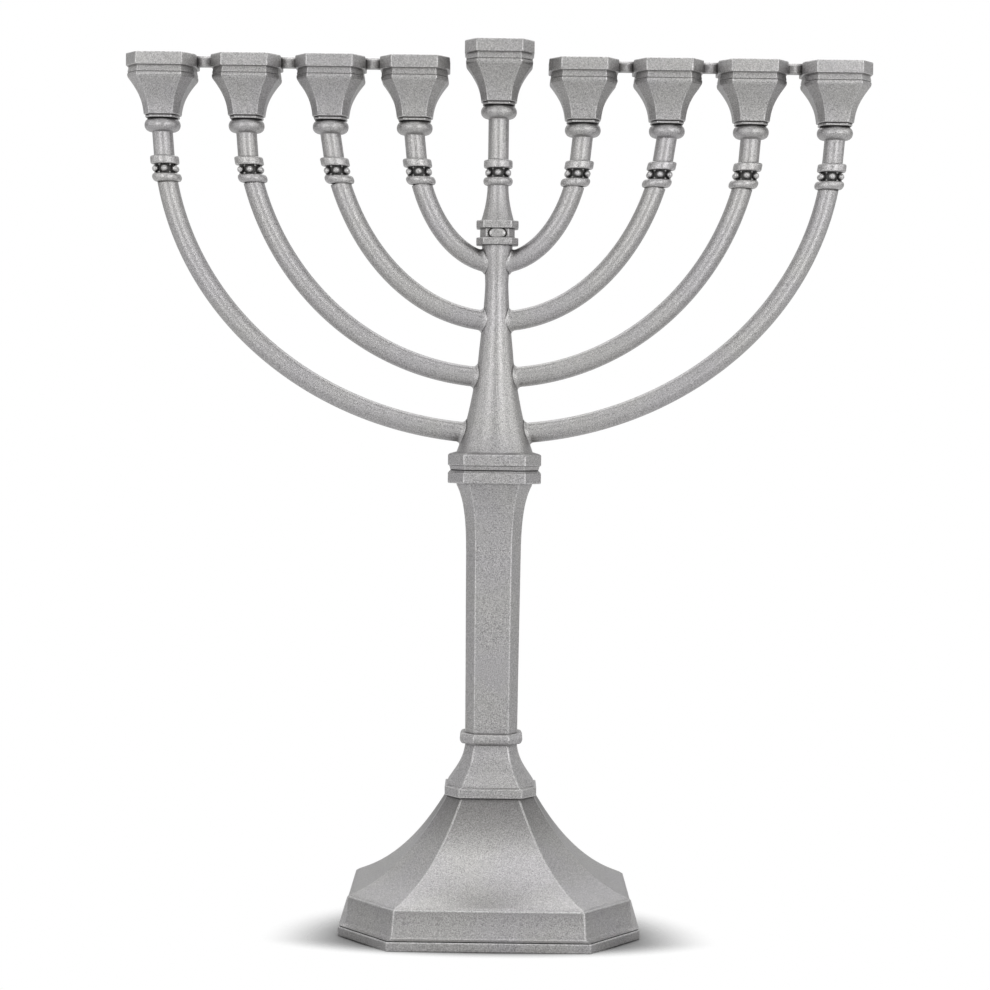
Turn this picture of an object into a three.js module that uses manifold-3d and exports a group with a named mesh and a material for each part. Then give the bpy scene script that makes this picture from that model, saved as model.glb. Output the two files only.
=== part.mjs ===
// A nine-branched candle holder of cast, pewter-toned metal, in millimetres with +Z up.
// The origin is on the table under the column's axis, and +X runs along the row of branches.
// A tie rod pulls the base, neck, column and trunk together. Eight curved arms plug into the
// trunk, and the centre candle's socket lifts out of its octagonal seat.
import * as THREE from "three";
import { mergeVertices } from "three/addons/utils/BufferGeometryUtils.js";
import Module from "manifold-3d";

const wasm = await Module();
wasm.setup();

// Driving dimensions
const CENTRE_RIM_Z = 305; // height of the centre cup's rim, the highest point
const SIDE_RIM_Z = 299.1; // height of the eight other rims, which are level
const CUP_PITCH = 29; // from one cup's axis to the next
const GAP = 0.3; // left between pieces that touch

// Octagons: the front and back flats are wider than the flats at the two ends
const FRONT_FLAT = 0.66; // half-width of a front flat, as a share of the octagon's half-width
const END_FLAT = 0.52; // half-width of an end flat, the same way

// Base and column, as half-widths and heights above the table
const RIM_HALF = 51;
const PLINTH_FOOT_HALF = 48.5;
const PLINTH_TOP = [47.75, 13.25];
const RIM_TOP_Z = 3.4;
const FLARE_TOP = [15, 45.5];
const SHELL_WALL = 3;
const FLANGE_Z = 45.8;
const FLANGE_HALF = 15.8;
const NECK_TOP_Z = 66.8;
const COLUMN_FOOT_Z = 67.1;
const COLUMN_TOP_Z = 153;
const COLUMN_BORE_HALF = 5.5;
const COLUMN_SPIGOT_HALF = COLUMN_BORE_HALF - 0.4; // of the two tenons that enter the column
const COLLAR_HALF = 16;
const COLLAR_JOINT_Z = 157.8; // plane in the collar's groove where the branches turn
const LOWER_RING_TOP_Z = 156.95;
const UPPER_RING_FOOT_Z = 159.55;
const GROOVE_DEPTH = 1.1;
const TRUNK_FOOT_Z = 163.2;
const TRUNK_TOP_Z = 235.2;

// Tie rod
const ROD_RADIUS = 2.5;
const ROD_HOLE = 2.8;
const ROD_FOOT_Z = 33;
const ROD_TOP_Z = 166;
const NUT_TOP_Z = 40.8;

// Arms: quarter ellipses in the XZ plane, centred on the axis, numbered from the centre out
const ARM_RADIUS = 3.5;
const ARMS = [
  { number: 1, reach: 28.9, drop: 45.9, centreZ: 275.1 },
  { number: 2, reach: 59, drop: 76.6, centreZ: 285.8 },
  { number: 3, reach: 87.8, drop: 91.8, centreZ: 281.5 },
  { number: 4, reach: 115.7, drop: 102.9, centreZ: 273.2 },
];
const ARM_SIDES = 8;
const ARM_STEPS = 14;
const SPIGOT_SIDES = 6;
const SPIGOT_RADIUS = 1.9;
const SPIGOT_HOLE = 2.3;

// Beaded ferrule, the same height on all nine branches
const FERRULE_Z = 255.95;
const FERRULE_HEIGHT = 8.8;
const BEAD_COUNT = 6;
const BEAD_RADIUS = 1.25;
const BEAD_CIRCLE = 3.7;

// Stem with its knop, and the tenons that join stem, ferrule, arm and cup
const STEM_RADIUS = 3.55;
const TENON_RADIUS = 1.7;
const TENON_HOLE = 2;
const TENON_FOOT_Z = 249.5;
const CUP_TENON = 3.3; // length of the one that enters the cup
const KNOP_HEIGHT = 4.7;
const KNOP_BELOW_RIM = 23.8; // from the rim down to the middle of the knop

// Cup
const CUP_HALF = 11.95;
const CUP_DEPTH = 21.1;
const CANDLE_RADIUS = 5;
const CANDLE_DEPTH = 14;

// Tie bars between the side cups
const BAR_HEIGHT = 3.5;
const BAR_WIDTH = 4;
const BAR_BELOW_RIM = 1.85; // from the rim down to the bar's middle
const BAR_TENON = { length: 1.4, width: 2.4, height: 1.6 };

// Octagonal seat of the centre candle
const SEAT_HALF = 7.25;
const SEAT_BAND_HALF = 5.96;
const SEAT_RING_TOP_Z = 237.75;
const SEAT_TOP_Z = 240.65;
const SEAT_BORE = 2.6;
const PLUG_RADIUS = 2.2;
const PLUG_FOOT_Z = 234.2;
const FOOT_RING_TOP_Z = 243.7;

const ROUND = 12; // facets round a turned piece
const SMALL_ROUND = 10; // and round the small ones of the branch ends
const UP = Math.PI / 2;

const castPewter = new THREE.MeshStandardMaterial({ color: 0xa5a3a1, roughness: 0.55, metalness: 0.85 });
const beadedPewter = new THREE.MeshStandardMaterial({ color: 0x6c6a68, roughness: 0.6, metalness: 0.8 });
const steel = new THREE.MeshStandardMaterial({ color: 0xb4b7ba, roughness: 0.35, metalness: 1 });
const felt = new THREE.MeshStandardMaterial({ color: 0x24262a, roughness: 1, metalness: 0 });

// ---- shape helpers ----

// A profile of [half-width, height] points as 2-D vectors.
function vectors(profile) {
  return profile.map(([half, height]) => new THREE.Vector2(half, height));
}

// A round body turned about +Z, its profile lowest point first on the outside.
function turned(profile, sides = ROUND) {
  return new THREE.LatheGeometry(vectors(profile), sides).rotateX(UP);
}

// A body with eight flat sides, whose profile gives the half-width at each height.
function eightSided(profile) {
  const body = new THREE.LatheGeometry(vectors(profile), 8, Math.PI / 8).rotateX(UP);
  const corners = body.getAttribute("position");
  for (let i = 0; i < corners.count; i += 1) {
    const x = corners.getX(i);
    const y = corners.getY(i);
    const half = Math.hypot(x, y);
    const onEndFlat = Math.abs(x) > Math.abs(y);
    corners.setX(i, Math.sign(x) * half * (onEndFlat ? 1 : FRONT_FLAT));
    corners.setY(i, Math.sign(y) * half * (onEndFlat ? END_FLAT : 1));
  }
  return body;
}

// Profile points along a cubic curve between the first and last of four points.
function curve(points, steps) {
  const bend = new THREE.CubicBezierCurve(...vectors(points));
  return bend.getPoints(steps).map(({ x, y }) => [x, y]);
}

// A ring's profile from its lower inner edge to its upper one, with broken corners.
function ring(half, inner, low, high, bevel = 0.4) {
  return [
    [inner, low],
    [half - bevel, low],
    [half, low + bevel],
    [half, high - bevel],
    [half - bevel, high],
    [inner, high],
  ];
}

// A geometry as a manifold-3d solid, with shared corners merged and empty faces dropped.
function solid(geometry) {
  const shell = geometry.clone();
  shell.deleteAttribute("normal");
  shell.deleteAttribute("uv");
  const merged = mergeVertices(shell, 1e-4);
  const corners = [];
  for (let i = 0; i < merged.index.count; i += 3) {
    const [a, b, c] = [0, 1, 2].map((k) => merged.index.getX(i + k));
    if (a !== b && b !== c && c !== a) corners.push(a, b, c);
  }
  return new wasm.Manifold(
    new wasm.Mesh({
      numProp: 3,
      vertProperties: merged.attributes.position.array,
      triVerts: new Uint32Array(corners),
    }),
  );
}

// A manifold-3d solid as a geometry.
function geometryOf(body) {
  const { vertProperties, triVerts } = body.getMesh();
  const geometry = new THREE.BufferGeometry();
  geometry.setAttribute("position", new THREE.BufferAttribute(vertProperties, 3));
  geometry.setIndex(new THREE.BufferAttribute(triVerts, 1));
  return geometry;
}

function joined(...geometries) {
  return geometryOf(geometries.map(solid).reduce((all, next) => all.add(next)));
}

function cut(geometry, ...tools) {
  return geometryOf(tools.map(solid).reduce((left, tool) => left.subtract(tool), solid(geometry)));
}

function cylinder(radius, low, high, sides = ROUND) {
  return turned([[0, low], [radius, low], [radius, high], [0, high]], sides);
}

function named(name, geometry, material, x = 0, z = 0) {
  const mesh = new THREE.Mesh(geometry, material);
  mesh.name = name;
  mesh.position.set(x, 0, z);
  return mesh;
}

// ---- base ----

function basePad() {
  return eightSided([[0, 0], [46.6, 0], [46.6, 1], [0, 1]]);
}

// Bottom plate with a recess for the pad and a lip that locates it inside the shell.
function basePlate() {
  const recess = 47;
  const lip = { outer: 44.2, inner: 41.5, top: 5 };
  const edge = ring(RIM_HALF, recess, 0.2, RIM_TOP_Z).slice(0, -1);
  return eightSided([
    [0, 1.3],
    [recess, 1.3],
    ...edge,
    [lip.outer, RIM_TOP_Z],
    [lip.outer, lip.top],
    [lip.inner, lip.top],
    [lip.inner, RIM_TOP_Z],
    [0, RIM_TOP_Z],
  ]);
}

// Hollow flared shell: a cove, an upright plinth wall, then a concave sweep up to the neck.
function baseShell() {
  const foot = RIM_TOP_Z + GAP;
  const cove = curve([[50.7, foot], [49.3, 3.9], [PLINTH_FOOT_HALF, 4.6], [PLINTH_FOOT_HALF, 5.8]], 4);
  const sweep = [[47.1, 13.6], [45.8, 15.2], [30.7, 17.1], FLARE_TOP];
  const inside = sweep.map(([half, z]) => [half - SHELL_WALL, z - SHELL_WALL]);
  const hole = 7.3;
  const innerWall = 44.8;
  return eightSided([
    ...cove,
    PLINTH_TOP,
    ...curve(sweep, 12),
    [hole, FLARE_TOP[1]],
    [hole, FLARE_TOP[1] - SHELL_WALL],
    ...curve(inside, 6).reverse(),
    [innerWall, 10.6],
    [innerWall, foot],
    cove[0],
  ]);
}

// Flanged neck with a flared body and a rounded top ring, tenoned into base and column.
function neck() {
  const bore = 4;
  const spigotFoot = 43;
  const spigotTop = 71;
  const flangeTop = 48.85;
  const flare = curve([[14.85, 49.35], [12.3, 53.6], [9.3, 56.6], [8.95, 63]], 6);
  const roundedRing = curve([[9.5, 63.1], [11.25, 63.1], [11.25, NECK_TOP_Z], [9.5, NECK_TOP_Z]], 5);
  return eightSided([
    [bore, spigotFoot],
    [6.9, spigotFoot],
    [6.9, FLANGE_Z],
    [FLANGE_HALF - 0.5, FLANGE_Z],
    [FLANGE_HALF, FLANGE_Z + 0.5],
    [FLANGE_HALF, flangeTop - 0.5],
    [FLANGE_HALF - 0.5, flangeTop],
    [15, flangeTop],
    ...flare,
    ...roundedRing,
    [COLUMN_SPIGOT_HALF, NECK_TOP_Z],
    [COLUMN_SPIGOT_HALF, spigotTop],
    [bore, spigotTop],
    [bore, spigotFoot],
  ]);
}

// ---- column ----

function column() {
  const flare = curve([[9.45, 130], [9.55, 137.5], [9.9, 146.8], [13.1, COLUMN_TOP_Z]], 7);
  return eightSided([
    [COLUMN_BORE_HALF, COLUMN_FOOT_Z],
    [8.97, COLUMN_FOOT_Z],
    ...flare,
    [COLUMN_BORE_HALF, COLUMN_TOP_Z],
    [COLUMN_BORE_HALF, COLUMN_FOOT_Z],
  ]);
}

// Fixed half of the column's collar: its top slopes into the groove that the joint sits in.
function collarLower() {
  const bore = 3.2;
  const spigotFoot = 148.5;
  const low = COLUMN_TOP_Z + GAP;
  const high = COLLAR_JOINT_Z - GAP / 2;
  return eightSided([
    [bore, spigotFoot],
    [COLUMN_SPIGOT_HALF, spigotFoot],
    [COLUMN_SPIGOT_HALF, low],
    [COLLAR_HALF - 0.4, low],
    [COLLAR_HALF, low + 0.4],
    [COLLAR_HALF, LOWER_RING_TOP_Z],
    [COLLAR_HALF - GROOVE_DEPTH, high],
    [bore, high],
    [bore, spigotFoot],
  ]);
}

function tieRod() {
  return cylinder(ROD_RADIUS, ROD_FOOT_Z, ROD_TOP_Z);
}

function tieNut() {
  const low = NUT_TOP_Z - 4.5;
  return cut(cylinder(5, low, NUT_TOP_Z, 6), cylinder(ROD_HOLE, low - 1, NUT_TOP_Z + 1));
}

function tieWasher() {
  const low = NUT_TOP_Z + GAP;
  return turned([[ROD_HOLE, low], [10.5, low], [10.5, low + 1.1], [ROD_HOLE, low + 1.1], [ROD_HOLE, low]]);
}

// ---- arms ----

// The ellipse that an arm follows, between two angles from its lowest point.
class Bow extends THREE.Curve {
  constructor(arm, from, to) {
    super();
    Object.assign(this, { arm, from, to });
  }

  getPoint(t, target = new THREE.Vector3()) {
    const angle = this.from + (this.to - this.from) * t;
    const { reach, drop, centreZ } = this.arm;
    return target.set(reach * Math.sin(angle), 0, centreZ - drop * Math.cos(angle));
  }
}

// Angles on the ellipse at a distance from the axis, and at a height.
function angleAtX(arm, x) {
  return Math.asin(x / arm.reach);
}

function angleAtZ(arm, z) {
  return Math.acos((arm.centreZ - z) / arm.drop);
}

// A round bar along the ellipse, from one angle to another.
function bowed(arm, radius, from, to, steps, sides = ARM_SIDES) {
  const corners = Array.from({ length: sides }, (_, i) => {
    const turn = (2 * Math.PI * (i + 0.5)) / sides;
    return new THREE.Vector2(radius * Math.cos(turn), radius * Math.sin(turn));
  });
  const settings = { steps, bevelEnabled: false, extrudePath: new Bow(arm, from, to) };
  return new THREE.ExtrudeGeometry(new THREE.Shape(corners), settings);
}

// Distance from the axis to a branch's centre line: on the ellipse up to the top of the
// ferrule, then leaning across to the cup's own axis at the foot of the knop.
function centreX(arm, z) {
  const bendZ = FERRULE_Z + FERRULE_HEIGHT;
  const knopFootZ = SIDE_RIM_Z - KNOP_BELOW_RIM - KNOP_HEIGHT / 2;
  const onEllipse = arm.reach * Math.sin(angleAtZ(arm, Math.min(z, bendZ)));
  const along = THREE.MathUtils.clamp((z - bendZ) / (knopFootZ - bendZ), 0, 1);
  return THREE.MathUtils.lerp(onEllipse, CUP_PITCH * arm.number, along);
}

// Shifts a body's levels sideways so that its upright axis follows a branch's centre line.
function leaned(geometry, arm, atZ = 0) {
  if (!arm) return geometry;
  const points = geometry.getAttribute("position");
  const home = CUP_PITCH * arm.number;
  for (let i = 0; i < points.count; i += 1) {
    const shift = centreX(arm, points.getZ(i) + atZ) - home;
    points.setX(i, points.getX(i) + shift);
  }
  return geometry;
}

function curvedArm(arm) {
  const top = FERRULE_Z - GAP;
  const bar = bowed(arm, ARM_RADIUS, angleAtX(arm, 2), angleAtZ(arm, top + 2), ARM_STEPS);
  const above = new THREE.BoxGeometry(20, 20, 20).translate(centreX(arm, top), 0, top + 10);
  const body = cut(bar, trunkBody(GAP), above);
  const spigot = bowed(arm, SPIGOT_RADIUS, angleAtX(arm, 1), angleAtX(arm, 15), 3, SPIGOT_SIDES);
  const socket = leaned(cylinder(TENON_HOLE, TENON_FOOT_Z - 1, top + 1, 8), arm);
  socket.translate(CUP_PITCH * arm.number, 0, 0);
  return cut(joined(body, spigot), socket);
}

// ---- trunk ----

// The trunk's round body, optionally grown by a clearance.
function trunkBody(grown = 0) {
  const body = [
    ...curve([[13.6, TRUNK_FOOT_Z], [9.6, 173], [7.4, 186.5], [6.1, 196]], 6),
    ...curve([[5.6, 200.5], [4.8, 208], [4.2, 215], [4.05, 222]], 3),
    [4.6, 228.5],
    [5.3, TRUNK_TOP_Z],
  ];
  const profile = body.map(([radius, z]) => [radius + grown, z]);
  return turned([[0, TRUNK_FOOT_Z], ...profile, [0, TRUNK_TOP_Z]]);
}

// Trunk on the turning half of the collar, drilled for the tie rod, the arms and the seat.
function trunk() {
  const low = COLLAR_JOINT_Z + GAP / 2;
  const collar = eightSided([
    [0, low],
    [COLLAR_HALF - GROOVE_DEPTH, low],
    [COLLAR_HALF, UPPER_RING_FOOT_Z],
    [COLLAR_HALF, TRUNK_FOOT_Z - 0.4],
    [COLLAR_HALF - 0.4, TRUNK_FOOT_Z],
    [0, TRUNK_FOOT_Z],
  ]);
  const rodHole = cylinder(ROD_HOLE, low - 1, ROD_TOP_Z + 1);
  const seatHole = cylinder(4.2, 233, TRUNK_TOP_Z + 1);
  const rightHoles = ARMS.map((arm) => {
    const [from, to] = [angleAtX(arm, 0.7), angleAtX(arm, 16)];
    return bowed(arm, SPIGOT_HOLE, from, to, 3, SPIGOT_SIDES);
  });
  const leftHoles = rightHoles.map((hole) => hole.clone().rotateZ(Math.PI));
  return cut(joined(trunkBody(), collar), rodHole, seatHole, ...rightHoles, ...leftHoles);
}

// ---- branch ends ----

// Two rings with a ring of beads between them, on a hollow core.
function ferrule(arm) {
  const low = 2.75;
  const high = FERRULE_HEIGHT - 2.85;
  const core = 3.5;
  const rings = turned([
    ...ring(5.05, TENON_HOLE, 0, low, 0.5).slice(0, -1),
    [core, low],
    [core, high],
    ...ring(5.05, TENON_HOLE, high, FERRULE_HEIGHT, 0.5).slice(1),
    [TENON_HOLE, 0],
  ], SMALL_ROUND);
  const beads = Array.from({ length: BEAD_COUNT }, (_, i) => {
    const turn = (2 * Math.PI * (i + 0.5)) / BEAD_COUNT;
    const [x, y] = [BEAD_CIRCLE * Math.sin(turn), BEAD_CIRCLE * Math.cos(turn)];
    return new THREE.IcosahedronGeometry(BEAD_RADIUS, 0).translate(x, y, FERRULE_HEIGHT / 2);
  });
  return leaned(joined(rings, ...beads), arm, FERRULE_Z);
}

// Stem with a tenon below, a rounded knop near its top and a short tenon into the cup.
function stem(rimZ, arm) {
  const foot = FERRULE_Z + FERRULE_HEIGHT + GAP;
  const knopZ = rimZ - KNOP_BELOW_RIM;
  const half = KNOP_HEIGHT / 2;
  const top = knopZ + half;
  const body = turned([
    [0, TENON_FOOT_Z],
    [TENON_RADIUS, TENON_FOOT_Z],
    [TENON_RADIUS, FERRULE_Z],
    [TENON_RADIUS, foot],
    [STEM_RADIUS, foot],
    [STEM_RADIUS, knopZ - half],
    ...curve([[4.6, knopZ - half], [6.75, knopZ - half], [6.75, top], [4.6, top]], 4),
    [TENON_RADIUS, top],
    [TENON_RADIUS, top + CUP_TENON],
    [0, top + CUP_TENON],
  ], SMALL_ROUND);
  return leaned(body, arm);
}

// Tapered octagonal cup under a moulded rim, with a dish and a candle bore, measured down
// from its rim. Pockets in the rim take the tie bars' tenons on the sides that have a bar.
function cup(barSides = []) {
  const body = eightSided([
    [0, -CUP_DEPTH],
    [5.6, -CUP_DEPTH],
    [5.6, -20.6],
    ...curve([[6.15, -20.3], [6.6, -16.2], [7.4, -13.4], [11.3, -8.3]], 6),
    [11.5, -7.7],
    [11.5, -6.9],
    [11.1, -6.5],
    [11.1, -4.6],
    [CUP_HALF, -4.3],
    [CUP_HALF, -0.4],
    [CUP_HALF - 0.4, 0],
    [0, 0],
  ]);
  const dish = turned([
    [0, -CANDLE_DEPTH],
    [CANDLE_RADIUS - 0.2, -CANDLE_DEPTH],
    [CANDLE_RADIUS, -3],
    [9.2, 0],
    [9.2, 1],
    [0, 1],
  ], SMALL_ROUND);
  const tenonTop = GAP + CUP_TENON - CUP_DEPTH;
  const tenonHole = cylinder(TENON_HOLE, -CUP_DEPTH - 1, tenonTop, 8);
  const pockets = barSides.map((side) =>
    new THREE.BoxGeometry(4, BAR_TENON.width + 0.6, BAR_TENON.height + 0.6).translate(
      side * (CUP_HALF + 0.3),
      0,
      -BAR_BELOW_RIM,
    ),
  );
  return cut(body, dish, tenonHole, ...pockets);
}

// Short bar between two neighbouring rims, with a bevelled top and a tenon at each end.
function tieBar() {
  const length = CUP_PITCH - 2 * (CUP_HALF + GAP);
  const half = BAR_WIDTH / 2;
  const [low, high] = [-BAR_HEIGHT / 2, BAR_HEIGHT / 2];
  const bevel = 0.6;
  const section = new THREE.Shape(
    vectors([
      [-half, low],
      [half, low],
      [half, high - bevel],
      [half - bevel, high],
      [bevel - half, high],
      [-half, high - bevel],
    ]),
  );
  const bar = new THREE.ExtrudeGeometry(section, { depth: length, bevelEnabled: false });
  bar.translate(0, 0, -length / 2).rotateX(UP).rotateZ(UP);
  const tenons = new THREE.BoxGeometry(length + 2 * BAR_TENON.length, BAR_TENON.width, BAR_TENON.height);
  return joined(bar, tenons);
}

// ---- centre candle ----

// Octagonal seat: a ring and a band with a raised oval on its front, tenoned into the trunk.
function shamashSocket() {
  const low = TRUNK_TOP_Z + GAP;
  const tenon = 3.3;
  const tenonFoot = 233.6;
  const seat = eightSided([
    [SEAT_BORE, tenonFoot],
    [tenon, tenonFoot],
    [tenon, low],
    ...ring(SEAT_HALF, tenon, low, SEAT_RING_TOP_Z, 0.35).slice(1, -1),
    [SEAT_BAND_HALF, SEAT_RING_TOP_Z],
    [SEAT_BAND_HALF, SEAT_TOP_Z],
    [SEAT_BORE, SEAT_TOP_Z],
    [SEAT_BORE, tenonFoot],
  ]);
  const oval = new THREE.SphereGeometry(1, 12, 8).scale(2.75, 0.8, 1.3);
  oval.translate(0, -SEAT_BAND_HALF, 239.3);
  return joined(seat, oval);
}

// Foot that lifts out of the seat: a plug, an octagonal ring and a flared round body.
function shamashFoot() {
  const low = SEAT_TOP_Z + GAP;
  const top = FERRULE_Z - GAP;
  const octagon = eightSided([
    [0, low],
    ...ring(SEAT_HALF, 0, low, FOOT_RING_TOP_Z, 0.35).slice(1, -1),
    [0, FOOT_RING_TOP_Z],
  ]);
  const flare = curve([[5.9, FOOT_RING_TOP_Z - 1], [4.7, 247.4], [3.7, 250.8], [3.6, top]], 5);
  const round = turned([[0, FOOT_RING_TOP_Z - 1], ...flare, [0, top]]);
  const plug = cylinder(PLUG_RADIUS, PLUG_FOOT_Z, low + 1);
  const socket = cylinder(TENON_HOLE, TENON_FOOT_Z - 1, top + 1, 8);
  return cut(joined(octagon, round, plug), socket);
}

// ---- assembly ----

const stand = new THREE.Group();
stand.add(
  named("base_pad", basePad(), felt),
  named("base_plate", basePlate(), castPewter),
  named("base_shell", baseShell(), castPewter),
  named("neck", neck(), castPewter),
  named("column", column(), castPewter),
  named("collar_lower", collarLower(), castPewter),
  named("tie_rod", tieRod(), steel),
  named("tie_nut", tieNut(), steel),
  named("tie_washer", tieWasher(), steel),
);

// The four branches of one side, along +X, with the bars between their cups.
function side(word) {
  const group = new THREE.Group();
  for (const arm of ARMS) {
    const tag = `${word}_${arm.number}`;
    const x = CUP_PITCH * arm.number;
    const barSides = [arm.number > 1 && -1, arm.number < ARMS.length && 1].filter(Boolean);
    group.add(
      named(`arm_${tag}`, curvedArm(arm), castPewter),
      named(`ferrule_${tag}`, ferrule(arm), beadedPewter, x, FERRULE_Z),
      named(`stem_${tag}`, stem(SIDE_RIM_Z, arm), castPewter, x),
      named(`cup_${tag}`, cup(barSides), castPewter, x, SIDE_RIM_Z),
    );
    if (barSides.includes(1)) {
      const middle = x + CUP_PITCH / 2;
      group.add(named(`tie_bar_${tag}`, tieBar(), castPewter, middle, SIDE_RIM_Z - BAR_BELOW_RIM));
    }
  }
  return group;
}

const right = side("right");
const left = side("left");
left.rotation.z = Math.PI;

const branches = new THREE.Group();
branches.add(
  named("trunk", trunk(), castPewter),
  named("shamash_socket", shamashSocket(), castPewter),
  right,
  left,
);

const shamash = new THREE.Group();
shamash.add(
  named("shamash_foot", shamashFoot(), castPewter),
  named("ferrule_shamash", ferrule(), beadedPewter, 0, FERRULE_Z),
  named("stem_shamash", stem(CENTRE_RIM_Z), castPewter),
  named("cup_shamash", cup(), castPewter, 0, CENTRE_RIM_Z),
);

const menorah = new THREE.Group();
menorah.add(stand, branches, shamash);

export default menorah;
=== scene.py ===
"""The fine surfaces and the finish of a nine-branched candle holder in cast pewter.

Shapes are written in millimetres and become metres when a mesh is made. Outlines are lists of
(half-width, height) that start on the axis below a piece, go up its outside and end on the axis.
"""

import math

import bpy
import numpy as np
from mathutils import Euler, Matrix, Vector


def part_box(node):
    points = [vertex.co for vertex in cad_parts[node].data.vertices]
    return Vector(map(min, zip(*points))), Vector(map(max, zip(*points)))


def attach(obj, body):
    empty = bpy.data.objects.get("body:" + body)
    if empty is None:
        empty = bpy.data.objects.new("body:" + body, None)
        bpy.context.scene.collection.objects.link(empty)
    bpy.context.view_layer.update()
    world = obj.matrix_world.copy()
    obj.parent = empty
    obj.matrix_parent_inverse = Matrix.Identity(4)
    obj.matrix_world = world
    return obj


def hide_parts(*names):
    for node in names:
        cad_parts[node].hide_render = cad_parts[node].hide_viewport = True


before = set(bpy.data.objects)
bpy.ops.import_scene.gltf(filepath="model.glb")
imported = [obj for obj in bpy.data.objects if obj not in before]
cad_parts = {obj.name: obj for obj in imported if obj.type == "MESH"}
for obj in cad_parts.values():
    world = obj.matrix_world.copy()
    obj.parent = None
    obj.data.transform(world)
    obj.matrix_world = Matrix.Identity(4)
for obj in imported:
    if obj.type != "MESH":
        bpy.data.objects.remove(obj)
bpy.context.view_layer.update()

MM = 0.001

# Octagons: half-widths of the front and end flats, as shares of the octagon's half-width
FRONT_FLAT = 0.66
END_FLAT = 0.52
WIDEST_FILLET = 0.3  # of an octagon's upright corners, as a share of its half-width
CORNER_STEPS = 4  # facets along a rounded corner
CORNER_SHARE = 0.42  # the most of a side that one of its corners takes up
CORNER_LEAD = 0.15  # flat points just outside a corner, as a share of the corner's reach
CREASE_PATINA = 0.35  # how much patina an inward corner holds
SMOOTH_TURN = 0.22  # an outline that turns by less than this angle keeps its point
ON_AXIS = 1e-6  # a half-width below this is a point on the axis
ROUND_SIDES = 56  # facets round the trunk and the centre candle's foot
SMALL_SIDES = 40  # facets round the arms, ferrules and stems
CUP_FILLET = 0.5  # of the cups' upright corners
REFERENCE_HALF = 10.0
LONG_SPAN = 2.0  # the reference octagon's flats are longer, and its corner spans shorter
FLAT_PARTS = 6  # parts that each flat of a cup is divided into

# Arms: quarter ellipses in the XZ plane (number, reach, drop, height of the centre)
ARM_RADIUS = 3.5
ARMS = {
    1: (28.9, 45.9, 275.1),
    2: (59.0, 76.6, 285.8),
    3: (87.8, 91.8, 281.5),
    4: (115.7, 102.9, 273.2),
}
ARM_STEPS = 110
ARM_START = (0.4, 0.5)  # distances from the axis of an arm's closed end and first section
ARM_OVERLAP = 0.4  # how far an arm goes into its ferrule
ROOT_FILLET = 1.5  # radius of the fillet where an arm runs into the trunk
ROOT_STEP = 0.2  # spacing of the sections there
ROOT_INSIDE = 2.6  # how far inside and outside the trunk's surface they go
ROOT_OUTSIDE = 2.55
SPARSE_FROM = 2.75  # distance outside the trunk where the wider spacing starts
FILLET_DECAY = 0.3  # distance over which the fillet dies away inside the trunk
PARALLEL_CUT = 1.15  # how strongly the fillet shrinks where it faces along the trunk's radius
CREASE_PLACE = 0.1  # distance outside the trunk of the painted highlight round an arm's root
CREASE_WIDTH = 0.3
LOWER_CREASE = 0.35  # brightness of that painted highlight on the arm's lower half, as a share of the upper half's

# Ferrules and stems
BEAD_COUNT = 6
BEAD_RADIUS = 1.17
BEAD_CIRCLE = 3.82
BEAD_WEAR = 0.6
BEADS_Z = (258.7, 261.9)
CORE_RADIUS = 3.1
CORE_PATINA = 0.85
ROUND_WEAR = 0.3  # wear of round edges, as a share of the octagons'
PIP_HEIGHT = 0.85
PIP_WIDTH = 0.95
PIP_ROOT = 0.6  # depth of a pip's root under its own radius
STEM_RADIUS = 3.55
KNOP_BELOW_RIM = 23.8
KNOP_RADIUS = 6.2
KNOP_HALF = 2.35

SIDES = {"right": 1, "left": -1}


# ---- places of the pieces, in millimetres ----


def cad_box(node):
    low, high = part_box(node)
    return np.array(low) / MM, np.array(high) / MM


def cad_top(node):
    return cad_box(node)[1][2]


def cad_foot(node):
    return cad_box(node)[0][2]


SIDE_RIM_Z = cad_top("cup_right_1")
CENTRE_RIM_Z = cad_top("cup_shamash")
CUP_PITCH = (cad_box("cup_right_1")[0][0] + cad_box("cup_right_1")[1][0]) / 2
FERRULE_Z = 255.95
FERRULE_TOP_Z = 264.75


# ---- outlines ----


def bezier(points, steps):
    """Points along a cubic curve between the first and last of four points."""
    p0, p1, p2, p3 = (np.array(p, float) for p in points)
    out = []
    for i in range(steps + 1):
        t = i / steps
        s = 1 - t
        out.append(tuple(s**3 * p0 + 3 * s * s * t * p1 + 3 * s * t * t * p2 + t**3 * p3))
    return out


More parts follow.
